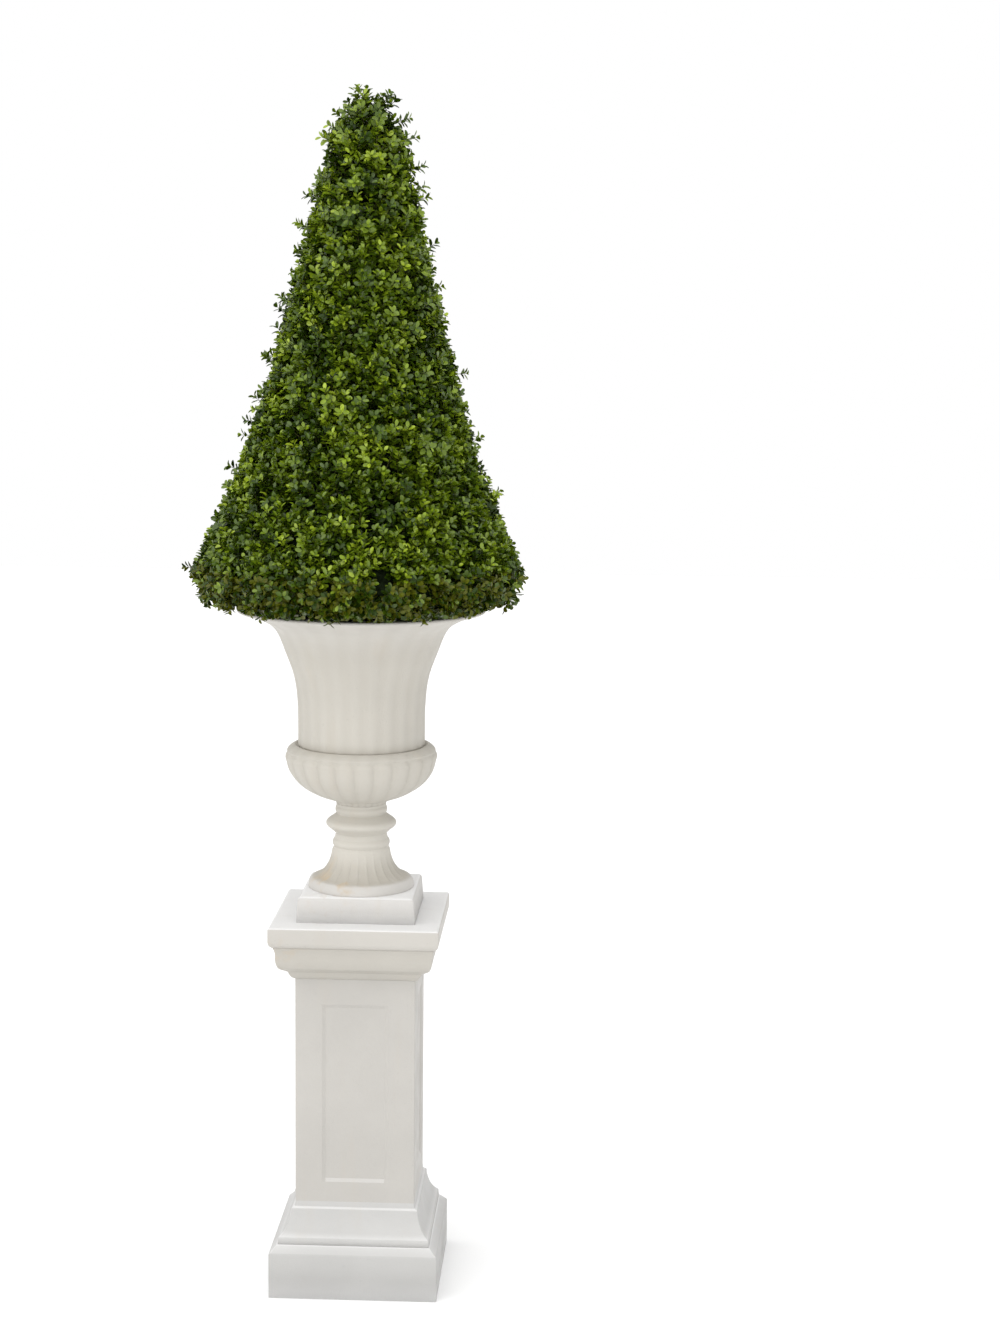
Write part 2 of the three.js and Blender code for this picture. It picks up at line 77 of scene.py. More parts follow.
# Urn: radii and heights above the ground
FOOT_HALF = 0.1085
FOOT_TOP_HALF = 0.104
FOOT_TOP = 0.747
SOCLE_RADIUS = 0.098
FLARE_BOTTOM = 0.766
FLARE_BOTTOM_RADIUS = 0.089
FLARE_TOP = 0.816
FLARE_TOP_RADIUS = 0.054
LOW_RING = 0.831
LOW_RING_RADIUS = 0.053
BIG_RING = 0.867
BIG_RING_RADIUS = 0.065
TOP_RING = 0.892
TOP_RING_RADIUS = 0.048
NECK_RADIUS = 0.046
SOCLE_FLUTE_DEPTH = 0.0030
BOWL_BOTTOM = 0.904
BOWL_RADIUS = 0.140
BOWL_WAIST = 0.990
BOWL_TOP = 1.013
BOWL_LIP = 0.002
LOBE_TOP = 0.999
LOBE_DEPTH = 0.0036
CUP_RADIUS = 0.117
CUP_FLOOR = 1.040
CUP_WALL = 0.009
CUP_FLUTE_DEPTH = 0.0016
CUP_FLUTE_TOP = 1.238
FILL_TOP = 1.250
RIM_RADIUS = 0.227
RIM_INNER_RADIUS = 0.188
RIM_LIP = 0.006
RIM_TOP = 1.268
FLUTES = 24
URN_SIDES = 12 * FLUTES
# Radii of the urn's turned edges, and of the edges of its square foot and its rim
URN_EDGE = 0.0012
FOOT_EDGE = 0.002
RIM_EDGE = 0.0015

# Short stem inside the foot of the cone
STEM_FOOT_RADIUS = 0.020
STEM_RADIUS = 0.015
STEM_TIP_RADIUS = 0.011
STEM_TOP = 1.430

# Cone of foliage: the outline that the leaf tips reach, and the dark core under the leaves, whose
# near-black colour is partly painted shade
CONE_TOP = 2.199
CONE_WIDEST = 1.325
CONE_TOP_RADIUS = 0.054
CONE_SLOPE_GAIN = 0.190
CONE_FLARE_GAIN = 0.068
CONE_FLARE_POWER = 4
CROWN_SHARE = 0.11
CONE_FOOT = 1.2683
# Below this height the outline turns in, by this much for each metre down
FOOT_TURN = 1.326
FOOT_TUCK = 0.95
# How low leaves may hang, and those of the sprigs that hang over the rim
LEAF_FLOOR = 1.2715
HANGING_FLOOR = 1.256
# Below this height the outline goes straight down
OUTLINE_FLOOR = 1.255
# The cone leans a little towards +X as it rises, and is upright over the pedestal at one height
LEAN = 0.02
LEAN_FROM = 1.650
CORE_DEPTH = 0.040
CORE_TOP_DEPTH = 0.080
CORE_SIDES = 96
CORE_ROWS = 70
LUMP_HEIGHT = 0.009

# Sprays of boxwood: each is a stem that forks into twigs, with crossed pairs of leaves
SPRAYS = 2150
TWIGS = 4
# From this height to the top, sprays lie deeper and the outline is looser
CROWN_FROM = 1.9
CROWN_RISE = 0.3
# So far down from the top, leaves may reach past the outline, and no sprig is added at random
CROWN_TUFT = 0.045
# Share of the sprays that is left out round the edge of the core's top
CROWN_THIN = 0.35
CROWN_THIN_RADIUS = 0.035
# Share of the sprays that lie deep, and how deep
DEEP_SHARE = 0.30
DEEP_BY = 0.018
# Loose sprigs at random places
STRAYS = 130
# Loose sprigs that show at the edge of the cone:
# degrees round the cone, height of the root, degrees above level, extra reach
SEEN_STRAYS = [
    [0, 2.132, 15, 0.022], [10, 2.146, 45, 0.018], [-12, 2.150, 58, 0.016], [24, 2.152, 50, 0.014],
    [165, 2.152, 74, 0.012], [195, 2.156, 80, 0.010], [-100, 2.154, 60, 0.006], [75, 2.150, 55, 0.010],
    [176, 2.128, 42, 0.014], [-6, 2.045, 20, 0.016], [8, 1.996, 15, 0.012], [180, 1.508, 20, 0.014],
    [184, 1.336, 5, 0.008],
]
# Sprigs that hang over the rim, in the same terms
HANGING = [
    [182, 1.312, -76, 0.014], [194, 1.310, -78, 0.010], [170, 1.310, -78, 0.012], [2, 1.312, -74, 0.016],
    [-10, 1.310, -78, 0.012], [13, 1.312, -76, 0.012], [-124, 1.304, -78, 0.006], [-95, 1.304, -80, 0.005],
    [-59, 1.304, -78, 0.006], [-142, 1.306, -76, 0.005], [-38, 1.308, -74, 0.006], [40, 1.308, -76, 0.008],
    [84, 1.306, -78, 0.006], [121, 1.308, -76, 0.008], [150, 1.306, -78, 0.006],
]
# Each of those is a tuft of three, and this is what each of the three adds to the row
TUFT = [[0, 0, 0, 0], [2.6, 0.006, -3, -0.002], [-2.4, 0.010, 4, 0.001]]
# Twigs: their length at first, its limits, and how often it is mended to reach the outline
TWIG_LENGTH = 0.034
SHORTEST_TWIG = 0.012
LONGEST_TWIG = 0.062
REACH_TRIES = 5
TWIG_RADIUS = 0.0009
TWIG_TIP_RADIUS = 0.0005
# How far twigs lean away from their stem, in degrees, and how much they turn upwards
TWIG_TILT = 34
TWIG_RISE = 0.55
# How far below a twig's tip its pairs of leaves stand, and how they turn and spread, in degrees
PAIR_STEPS = [0.0, 0.0045, 0.0100, 0.0165, 0.0240]
PAIR_TURN = 90
LOW_SPREAD = 74
TIP_SPREAD = 42
LEAF_ROOT = 0.0008
LEAF_LENGTH = 0.0145
LEAF_WIDTH = 0.0085
GOLDEN_ANGLE = math.pi * (3 - math.sqrt(5))
SEED = 20260
PIECE_LEAVES = 30000
# Leaves have a tone from 0 to 1: what it is on a spray and on a loose sprig, and where it changes kind
SPRAY_TONE = 0.54
STRAY_TONE = 0.58
TONE_BOUNDS = [0.20, 0.40, 0.60, 0.80]
# Painted shade: twigs near the foot, where less light falls from above, get darker leaves: by how much,
# and the heights between which that fades
FOOT_SHADE = 0.30
FOOT_SHADE_ENDS = (1.29, 1.36)
# Share of the leaves near the foot that are old, and the height up to which they are
OLD_SHARE = 0.5
OLD_TOP = 1.345

# Linear base colours
URN_WHITE = (0.512, 0.488, 0.438)
# Painted light and shade on the socle: the urn's white made lighter for its neck and rings, and darker for
# its flare
LIT_NECK_WHITE = (0.545, 0.520, 0.467)
FLARE_SHADE = (0.440, 0.413, 0.362)
URN_STAIN = (0.500, 0.395, 0.265)
FOOT_WHITE = (0.575, 0.560, 0.538)
PEDESTAL_WHITE = (0.475, 0.458, 0.428)
CORNICE_WHITE = (0.465, 0.443, 0.400)
CAP_WHITE = (0.508, 0.487, 0.450)
BASE_WHITE = (0.500, 0.495, 0.482)
# Painted light: the white towards which surfaces that face up, and some places in shade, are painted
PAINTED_LIGHT_WHITE = (0.760, 0.755, 0.748)
PLINTH_WHITE = (0.462, 0.457, 0.444)
# Painted shade in the flutes and between the lobes, and painted shade with some grime along the corner at
# the cup's foot
SHADE_AND_GRIME = (0.400, 0.372, 0.318)
PEDESTAL_SCUFF = (0.420, 0.400, 0.370)
FLOOR_WHITE = (0.98, 0.98, 0.98)
FILL_DARK = (0.040, 0.032, 0.024)
BARK_BROWN = (0.140, 0.100, 0.060)
TWIG_GREEN = (0.075, 0.080, 0.025)
# Near black: the core's own dark colour, made darker as painted shade for the inside of the cone
CORE_DARK = (0.008, 0.012, 0.005)
LEAF_COLOURS = {
    "deep": (0.022, 0.046, 0.001),
    "dark": (0.056, 0.100, 0.002),
    "mid": (0.112, 0.172, 0.004),
    "fresh": (0.188, 0.270, 0.009),
    "lime": (0.300, 0.395, 0.022),
    "old": (0.088, 0.100, 0.004),
}
LEAF_SHEEN = 0.5
DULL_SHEEN = 0.25
DULL_LEAVES = ("old", "deep")

# Painted highlight: surfaces that face up are painted whiter, as light from above makes them look: the
# height of the surface's normal at which that starts, and at which it is full
LOW_LEDGES = (0.57, 1.0)
SHAFT_LEDGES = (0.30, 0.70)
CAP_LEDGES = (0.50, 0.80)
FOOT_LEDGES = (0.60, 0.90)
CUP_LEDGES = (0.85, 0.97)

# Marks in the paint: the place, how far they reach, how strong they are, and how fine
PLINTH_SCUFFS = ((-0.12, -0.155, 0.03), 0.07, 0.14, 55)
SIDE_SCUFFS = ((0.15, 0.10, 0.05), 0.09, 0.14, 50)
CORNICE_STAINS = ((-0.13, -0.15, 0.645), 0.06, 0.25, 40)
FOOT_STAINS = ((-0.05, -0.10, 0.735), 0.06, 0.2, 60)
FLARE_STAINS = ((-0.045, -0.075, 0.773), 0.085, 0.9, 24)
FLARE_PATCH = ((0.040, -0.070, 0.785), 0.060, 0.8, 22)

# Light: the side of the room that is brightest, and how strong the room is opposite it and on it
ROOM_BRIGHT_SIDE = (-0.22, -0.60, 0.90)
ROOM_STRENGTH = (0.68, 1.42)
# One wide soft light: where it comes from, its strength, and its spread in degrees
KEY_FROM = (-0.60, -1.1, 0.95)
KEY_STRENGTH = 0.48
KEY_SPREAD = 60
# Half the side of the floor
FLOOR_REACH = 12

rng = np.random.default_rng(SEED)


# Outlines: lists of (radius or half width, height)

def curve(start, control, end, steps=8):
    """Points of a quadratic curve, after its start."""
    t = np.linspace(0, 1, steps + 1)[1:, None]
    a, b, c = (np.array(p) for p in (start, control, end))
    return [tuple(p) for p in (1 - t) ** 2 * a + 2 * t * (1 - t) * b + t ** 2 * c]


def through(points, steps):
    """A smooth curve through points, as an evenly stepped list."""
    before, after = 2 * np.array(points[0]) - points[1], 2 * np.array(points[-1]) - points[-2]
    knots = np.array([before, *points, after])
    made = []
    for a, b, c, d in zip(knots, knots[1:], knots[2:], knots[3:]):
        t = np.linspace(0, 1, steps, endpoint=False)[:, None]
        squared, cubed = 2 * a - 5 * b + 4 * c - d, 3 * b - a - 3 * c + d
        cubic = 2 * b + (c - a) * t + squared * t ** 2 + cubed * t ** 3
        made += [tuple(p) for p in 0.5 * cubic]
    return [*made, tuple(points[-1])]


def softened(outline, radius):
    """The outline with its sharp corners rounded off."""
    points = [np.array(p) for p in outline]
    made = [outline[0]]
    for before, corner, after in zip(points, points[1:], points[2:]):
        back, on = before - corner, after - corner
        bend = np.dot(back, on) / (np.linalg.norm(back) * np.linalg.norm(on))
        if bend < -0.93:
            made.append(tuple(corner))
            continue
        reach = [min(radius, 0.45 * np.linalg.norm(way)) / np.linalg.norm(way) for way in (back, on)]
        start, end = corner + back * reach[0], corner + on * reach[1]
        made += [tuple(start), *curve(start, corner, end, 4)]
    return [*made, outline[-1]]


def stepped(outline, step):
    """The outline with its long stretches divided."""
    made = [outline[0]]
    for a, b in zip(outline, outline[1:]):
        a, b = np.array(a), np.array(b)
        parts = max(1, math.ceil(np.linalg.norm(b - a) / step))
        made += [tuple(a + (b - a) * i / parts) for i in range(1, parts + 1)]
    return made


# Meshes

def mesh_piece(name, vertices, faces, material, slot, *nodes):
    """A piece made of vertices and faces, which stands for the nodes."""
    mesh = bpy.data.meshes.new(name)
    mesh.from_pydata(vertices, [], faces)
    return placed(name, mesh, material, slot, *nodes)


def placed(name, mesh, material, slot, *nodes):
    """Puts a mesh in the scene as a smooth piece on the root."""
    mesh.materials.append(material)
    mesh.shade_smooth()
    piece = bpy.data.objects.new(name, mesh)
    bpy.context.scene.collection.objects.link(piece)
    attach(piece, "root")
    if nodes:
        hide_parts(*nodes)
    return piece


def rings(grid):
    """Vertices and faces of stacked rings of points, closed at both ends. grid is (rows, around, 3)."""
    rows, around = grid.shape[:2]
    corner = np.arange(rows * around).reshape(rows, around)
    low, high = corner[:-1], corner[1:]
    faces = np.stack([low, np.roll(low, -1, 1), np.roll(high, -1, 1), high], -1).reshape(-1, 4).tolist()
    return grid.reshape(-1, 3).tolist(), [*faces, corner[0, ::-1].tolist(), corner[-1].tolist()]


def turned(outline, sides, depth_at=None):
    """A turned shape. depth_at gives how far its surface is pressed in at an angle and a height."""
    radius, z = np.array(outline).T[:, :, None]
    angle = np.linspace(0, 2 * np.pi, sides, endpoint=False)[None]
    if depth_at:
        radius = radius - depth_at(angle, z)
    grid = np.stack([radius * np.cos(angle), radius * np.sin(angle), z + 0 * angle], -1)
    return rings(grid)


def square_turned(outline, stations=(-0.6, 0, 0.6), depth_at=None):
    """A shape of square sections with rounded corners. stations are the places along each side, in half
    widths. depth_at gives how far a side is pressed in at a place along it and a height."""
    half, z = np.array(outline).T
    ends, ways = [], []
    for side in range(4):
        turn = side * np.pi / 2
        out, on = np.array([np.sin(turn), -np.cos(turn)]), np.array([np.cos(turn), np.sin(turn)])
        ends += [out + s * on for s in stations]
        ways += [out for s in stations]
        bend = np.linspace(0, np.pi / 2, 5)[:, None]
        ends += [out + on] * 5
        ways += list(np.cos(bend) * out + np.sin(bend) * on)
    ends, ways = np.array(ends), np.array(ways)
    flat = (half - ARRIS)[:, None, None] * ends[None] + ARRIS * ways[None]
    if depth_at:
        along = np.where(np.abs(ways[:, 1]) > 0.5, flat[..., 0], flat[..., 1])
        flat = flat - depth_at(along, z[:, None])[..., None] * ways[None]
    grid = np.concatenate([flat, np.broadcast_to(z[:, None, None], (*flat.shape[:2], 1))], -1)
    return rings(grid)


def ramp(value, start, end):
    """Rises smoothly from 0 at start to 1 at end, and stays there."""
    share = np.clip((value - start) / (end - start), 0, 1)
    return share * share * (3 - 2 * share)


def channel(angle, z, bottom, top, rounding):
    """Round-bottomed upright channels with rounded ends: 1 in the middle of each, 0 between them."""
    across = 2 * ((angle * FLUTES / (2 * np.pi)) % 1) - 1
    past = np.maximum(bottom - z, 0) + np.maximum(z - top, 0)
    return np.sqrt(np.clip(1 - across ** 2 - (past / rounding) ** 2, 0, 1))


# Materials

def new_material(name, roughness, specular=0.5):
    material = bpy.data.materials.new(name)
    material.use_nodes = True
    shader = material.node_tree.nodes["Principled BSDF"]
    shader.inputs["Roughness"].default_value = roughness
    shader.inputs["Specular IOR Level"].default_value = specular
    return material, material.node_tree, shader


def noise(tree, scale, detail=4, stretch=(1, 1, 1), turn=0):
    """A noise pattern in the object's own space, from 0 to 1."""
    place = tree.nodes.new("ShaderNodeTexCoord")
    mapping = tree.nodes.new("ShaderNodeMapping")
    mapping.inputs["Scale"].default_value = stretch
    mapping.inputs["Location"].default_value = (turn, turn, turn)
    pattern = tree.nodes.new("ShaderNodeTexNoise")
    pattern.inputs["Scale"].default_value = scale
    pattern.inputs["Detail"].default_value = detail
    tree.links.new(place.outputs["Object"], mapping.inputs["Vector"])
    tree.links.new(mapping.outputs["Vector"], pattern.inputs["Vector"])
    return pattern.outputs["Fac"]


def ranged(tree, value, low, high, from_low=0.0, from_high=1.0):
    """The value carried smoothly from one range to another, and held there."""
    node = tree.nodes.new("ShaderNodeMapRange")
    node.interpolation_type = "SMOOTHSTEP"
    ends = {"From Min": from_low, "From Max": from_high, "To Min": low, "To Max": high}
    for socket, number in ends.items():
        node.inputs[socket].default_value = number
    tree.links.new(value, node.inputs["Value"])
    return node.outputs["Result"]


def maths(tree, operation, *values):
    """The result of an operation on values, each a number or a socket."""
    node = tree.nodes.new("ShaderNodeMath")
    node.operation = operation
    for socket, value in zip(node.inputs, values):
        if isinstance(value, (int, float)):
            socket.default_value = value
        else:
            tree.links.new(value, socket)
    return node.outputs["Value"]


def place_on_object(tree):
    """Sockets for X, Y and Z in the object's own space."""
    parts = tree.nodes.new("ShaderNodeSeparateXYZ")
    tree.links.new(tree.nodes.new("ShaderNodeTexCoord").outputs["Object"], parts.inputs["Vector"])
    return parts.outputs


def mixed(tree, share, first, second):
    """A mix of two colours, each a colour or a socket, by a share from 0 to 1."""
    node = tree.nodes.new("ShaderNodeMix")
    node.data_type = "RGBA"
    tree.links.new(share, node.inputs["Factor"])
    for socket, colour in ((node.inputs[6], first), (node.inputs[7], second)):
        if isinstance(colour, tuple):
            socket.default_value = (*colour, 1)
        else:
            tree.links.new(colour, socket)
    return node.outputs[2]


def near(tree, place, radius):
    """1 at a place, falling to 0 at a radius from it."""
    coordinate = tree.nodes.new("ShaderNodeTexCoord")
    distance = tree.nodes.new("ShaderNodeVectorMath")
    distance.operation = "DISTANCE"
    distance.inputs[1].default_value = place
    tree.links.new(coordinate.outputs["Object"], distance.inputs[0])
    return ranged(tree, distance.outputs["Value"], 1, 0, 0.2 * radius, radius)


def bumped(tree, shader, *heights):
    """Adds bumps, each a pattern and its height in metres."""
    normal = None
    for pattern, height in heights:
        node = tree.nodes.new("ShaderNodeBump")
        node.inputs["Distance"].default_value = height
        tree.links.new(pattern, node.inputs["Height"])
        if normal:
            tree.links.new(normal, node.inputs["Normal"])
        normal = node.outputs["Normal"]
    tree.links.new(normal, shader.inputs["Normal"])


def scaled(colour, factor):
    return tuple(factor * part for part in colour)


def facing_up(tree, start, end):
    """0 where the surface is steep, rising to 1 where it faces up, by the height of its normal."""
    parts = tree.nodes.new("ShaderNodeSeparateXYZ")
    tree.links.new(tree.nodes.new("ShaderNodeNewGeometry").outputs["Normal"], parts.inputs["Vector"])
    return ranged(tree, parts.outputs["Z"], 0, 1, start, end)


def painted(name, colour, roughness, lit_ledges, marks):
    """Matte paint on a casting: broad clouds, fine speckle, a painted highlight on ledges that face up,
    and marks, each a colour and a maker of the socket for its share;
    some of the marks are painted light and painted shade. The ledge range is how far up a ledge faces
    where the painted highlight starts and ends."""
    material, tree, shader = new_material(name, roughness, 0.35)
    broad = ranged(tree, noise(tree, 5, 5), 0, 1, 0.3, 0.7)
    clouds = mixed(tree, broad, scaled(colour, 0.96), scaled(colour, 1.03))
    specks = ranged(tree, noise(tree, 160, 3), 0, 0.35, 0.62, 0.78)
    surface = mixed(tree, specks, clouds, scaled(colour, 0.86))
    if lit_ledges:
        # Painted highlight: whiter where the surface faces up
        surface = mixed(tree, facing_up(tree, *lit_ledges), surface, PAINTED_LIGHT_WHITE)
    for mark_colour, share in marks:
        surface = mixed(tree, share(tree), surface, mark_colour)
    tree.links.new(surface, shader.inputs["Base Color"])
    tree.links.new(ranged(tree, noise(tree, 22, 4), roughness - 0.08, roughness + 0.1, 0.3, 0.7),
                   shader.inputs["Roughness"])
    bumped(tree, shader, (noise(tree, 420, 3), 0.0004), (noise(tree, 28, 5), 0.0012))
    return material


def scuffs(place, radius, strength, scale):
    """Faint marks around a place, broken up by noise."""
    def share(tree):
        broken = ranged(tree, noise(tree, scale, 6, turn=3), 0, strength, 0.5, 0.68)
        return maths(tree, "MULTIPLY", near(tree, place, radius), broken)
    return share


def at_height(start, end, strength):
    """A share that is strongest up or down to one height, and fades out at another."""
    def share(tree):
        low, high = sorted([(start, strength), (end, 0)])
        return ranged(tree, place_on_object(tree)["Z"], low[1], high[1], low[0], high[0])
    return share


def flute_shade(middle, between):
    """Painted shade in flutes and grooves: a share with one strength along the middle of each flute or
    lobe, and another between them.
    """
    def share(tree):
        place = place_on_object(tree)
        angle = maths(tree, "ARCTAN2", place["Y"], place["X"])
        wave = maths(tree, "COSINE", maths(tree, "MULTIPLY", angle, FLUTES))
        return ranged(tree, wave, middle, between, -1, 1)
    return share


def streaks(strength, scale, turn):
    """Faint upright streaks over the whole surface."""
    def share(tree):
        return ranged(tree, noise(tree, scale, 5, (1, 1, 0.12), turn), 0, strength, 0.55, 0.8)
    return share


def urn_paint(name, colour, lit_ledges, *more):
    stains = [(URN_STAIN, scuffs(*FOOT_STAINS)), (URN_STAIN, streaks(0.12, 30, 1))]
    return painted(name, colour, 0.62, lit_ledges, [*stains, *more])


def pedestal_paint(name, colour, lit_ledges, *more):
    marks = [
        (PEDESTAL_SCUFF, scuffs(*PLINTH_SCUFFS)), (PEDESTAL_SCUFF, scuffs(*SIDE_SCUFFS)),
        (URN_STAIN, scuffs(*CORNICE_STAINS)), (URN_STAIN, streaks(0.10, 24, 2)),
    ]
    return painted(name, colour, 0.5, lit_ledges, [*marks, *more])


def rough_ground(name, colour, scale, height):
    """A rough material for the fill, the core and the twigs: two tones of one colour, with bumps."""
    material, tree, shader = new_material(name, 0.95, 0.02)
    pattern = noise(tree, scale, 8)
    share = ranged(tree, pattern, 0, 1, 0.35, 0.65)
    tone = mixed(tree, share, scaled(colour, 0.6), scaled(colour, 1.5))
    tree.links.new(tone, shader.inputs["Base Color"])
    bumped(tree, shader, (pattern, height))
    return material


def bark():
    material, tree, shader = new_material("bark", 0.85, 0.3)
    ridges = noise(tree, 90, 8, (1, 1, 0.25))
    share = ranged(tree, ridges, 0, 1, 0.35, 0.65)
    tone = mixed(tree, share, scaled(BARK_BROWN, 0.5), scaled(BARK_BROWN, 1.4))
    tree.links.new(tone, shader.inputs["Base Color"])
    bumped(tree, shader, (ridges, 0.003))
    return material


def leaf_surface(name, colour, sheen):
    """Satin leaves of one colour, a little lighter and darker from place to place."""
    material, tree, shader = new_material(name, 0.33, sheen)
    share = ranged(tree, noise(tree, 70, 2), 0, 1, 0.3, 0.7)
    tone = mixed(tree, share, scaled(colour, 0.78), scaled(colour, 1.22))
    tree.links.new(tone, shader.inputs["Base Color"])
    tree.links.new(ranged(tree, noise(tree, 240, 2), 0.26, 0.40, 0.3, 0.7), shader.inputs["Roughness"])
    bumped(tree, shader, (noise(tree, 700, 2), 0.0002))
    return material


# Pedestal

def square_piece(name, outline, edge, paint, slot, node):
    """A piece of square sections with its edges rounded, which stands for a node."""
    mesh_piece(name, *square_turned(softened(outline, edge)), paint, slot, node)


def pedestal():
    plinth = [(PLINTH_HALF, 0), (PLINTH_HALF, PLINTH_TOP - PLINTH_BEVEL),
              (PLINTH_HALF - PLINTH_BEVEL, PLINTH_TOP), (PLINTH_HALF - 0.03, PLINTH_TOP)]
    # Painted light: the plinth is painted whiter towards the ground, against the shade where it meets the
    # floor
    lit_foot = (PAINTED_LIGHT_WHITE, at_height(0, 0.045, 0.45))
    paint = pedestal_paint("plinth_paint", PLINTH_WHITE, LOW_LEDGES, lit_foot)
    square_piece("plinth", plinth, PLINTH_EDGE, paint, "pedestal", "pedestal_plinth")

    flare_foot = (PLINTH_HALF - PLINTH_BEVEL - 0.002, PLINTH_TOP + 0.012)
    flare_top = (LEDGE_HALF, LEDGE_TOP - 0.004)
    base = [(PLINTH_HALF - PLINTH_BEVEL - 0.001, PLINTH_TOP), flare_foot,
            *curve(flare_foot, (LEDGE_HALF + 0.003, LEDGE_TOP - 0.038), flare_top, 12),
            (SHAFT_HALF + 0.001, LEDGE_TOP), (SHAFT_HALF, SHAFT_BOTTOM),
            (SHAFT_HALF - 0.003, SHAFT_BOTTOM + 0.008)]
    paint = pedestal_paint("base_paint", BASE_WHITE, LOW_LEDGES)
    square_piece("base_moulding", base, MOULDING_EDGE, paint, "pedestal", "pedestal_base_moulding")

    shaft()

    bead_foot = (SHAFT_HALF + 0.001, SHAFT_TOP)
    bead_top = (SHAFT_HALF + 0.012, CORNICE_BOTTOM - 0.009)
    cornice_foot = (CORNICE_HALF, CORNICE_BOTTOM)
    middle = (0.5 * (CORNICE_HALF + CAP_FOOT_HALF) + 0.001, 0.5 * (CORNICE_BOTTOM + CAP_BOTTOM))
    slab_foot = (CAP_FOOT_HALF, CAP_BOTTOM)
    cornice = [bead_foot, *curve(bead_foot, (SHAFT_HALF + 0.009, SHAFT_TOP + 0.004), bead_top),
               cornice_foot,
               *curve(cornice_foot, (CORNICE_HALF + 0.006, CORNICE_BOTTOM + 0.009), middle),
               *curve(middle, (CAP_FOOT_HALF - 0.005, CAP_BOTTOM - 0.010), slab_foot)]
    paint = pedestal_paint("cornice_paint", CORNICE_WHITE, None)
    square_piece("cap_moulding", cornice, MOULDING_EDGE, paint, "pedestal", "pedestal_cap_moulding")

    slab_side = (CAP_HALF, CAP_BOTTOM + 0.012)
    slab = [slab_foot, *curve(slab_foot, (CAP_HALF - 0.001, CAP_BOTTOM + 0.003), slab_side),
            (CAP_HALF, PEDESTAL_TOP - CAP_BEVEL), (CAP_HALF - CAP_BEVEL, PEDESTAL_TOP),
            (CAP_HALF - 0.02, PEDESTAL_TOP)]
    paint = pedestal_paint("cap_paint", CAP_WHITE, CAP_LEDGES)
    square_piece("cap_slab", slab, MOULDING_EDGE, paint, "pedestal", "pedestal_cap_slab")


def shaft():
    """The shaft, with a sunk panel with sloping edges on each face."""
    width = SHAFT_HALF - ARRIS
    edges = [PANEL_HALF + 0.001, PANEL_HALF, PANEL_HALF - PANEL_SLOPE, PANEL_HALF - PANEL_SLOPE - 0.001]
    edges = [edge / width for edge in edges]
    places = sorted([-edge for edge in edges] + edges + [-0.85, -0.25, 0, 0.25, 0.85])
    heights = [SHAFT_BOTTOM, SHAFT_BOTTOM + 0.006]
    for edge, way in ((PANEL_BOTTOM, 1), (PANEL_TOP, -1)):
        heights += [edge - way * 0.001, edge, edge + way * PANEL_SLOPE, edge + way * (PANEL_SLOPE + 0.001)]
    heights = sorted(heights + [0.30, 0.38, 0.46, SHAFT_TOP - 0.006, SHAFT_TOP])

    def sunk(along, z):
        inside = np.minimum(PANEL_HALF - np.abs(along), np.minimum(z - PANEL_BOTTOM, PANEL_TOP - z))
        return PANEL_DEPTH * np.clip(inside / PANEL_SLOPE, 0, 1)

    made = square_turned([(SHAFT_HALF, z) for z in heights], places, sunk)
    paint = pedestal_paint("shaft_paint", PEDESTAL_WHITE, SHAFT_LEDGES)
    piece = mesh_piece("shaft", *made, paint, "pedestal", "pedestal_shaft")
    piece.data.set_sharp_from_angle(angle=math.radians(PANEL_SHARP))


# Urn

def ring(height, radius, rise, below, above):
    """A rounded ring that stands out of a neck."""
    start, end = (below, height - rise), (above, height + rise)
    return [start, *curve(start, (2 * radius - (below + above) / 2, height), end, 12)]


def urn():
    foot_block()
    socle()
    bowl()
    cup()


def urn_piece(name, outline, step, depth_at, paint, node):
    """A turned piece of the urn with its long stretches divided, which stands for a node."""
    made = turned(stepped(softened(outline, URN_EDGE), step), URN_SIDES, depth_at)
    mesh_piece(name, *made, paint, "urn", node)


def foot_block():
    side_top = (FOOT_TOP_HALF + 0.002, FOOT_TOP - 0.008)
    edge = (FOOT_TOP_HALF - 0.005, FOOT_TOP)
    block = [(FOOT_HALF, PEDESTAL_TOP), side_top,
             *curve(side_top, (FOOT_TOP_HALF + 0.001, FOOT_TOP - 0.001), edge),
             (FOOT_TOP_HALF - 0.02, FOOT_TOP)]
    # Painted light: the foot block is painted whiter towards its bottom, against the shade where it sits
    # on the cap
    lit_foot = (PAINTED_LIGHT_WHITE, at_height(PEDESTAL_TOP, PEDESTAL_TOP + 0.028, 0.55))
    paint = urn_paint("foot_paint", FOOT_WHITE, FOOT_LEDGES, lit_foot)
    square_piece("foot_block", block, FOOT_EDGE, paint, "urn", "urn_foot_block")


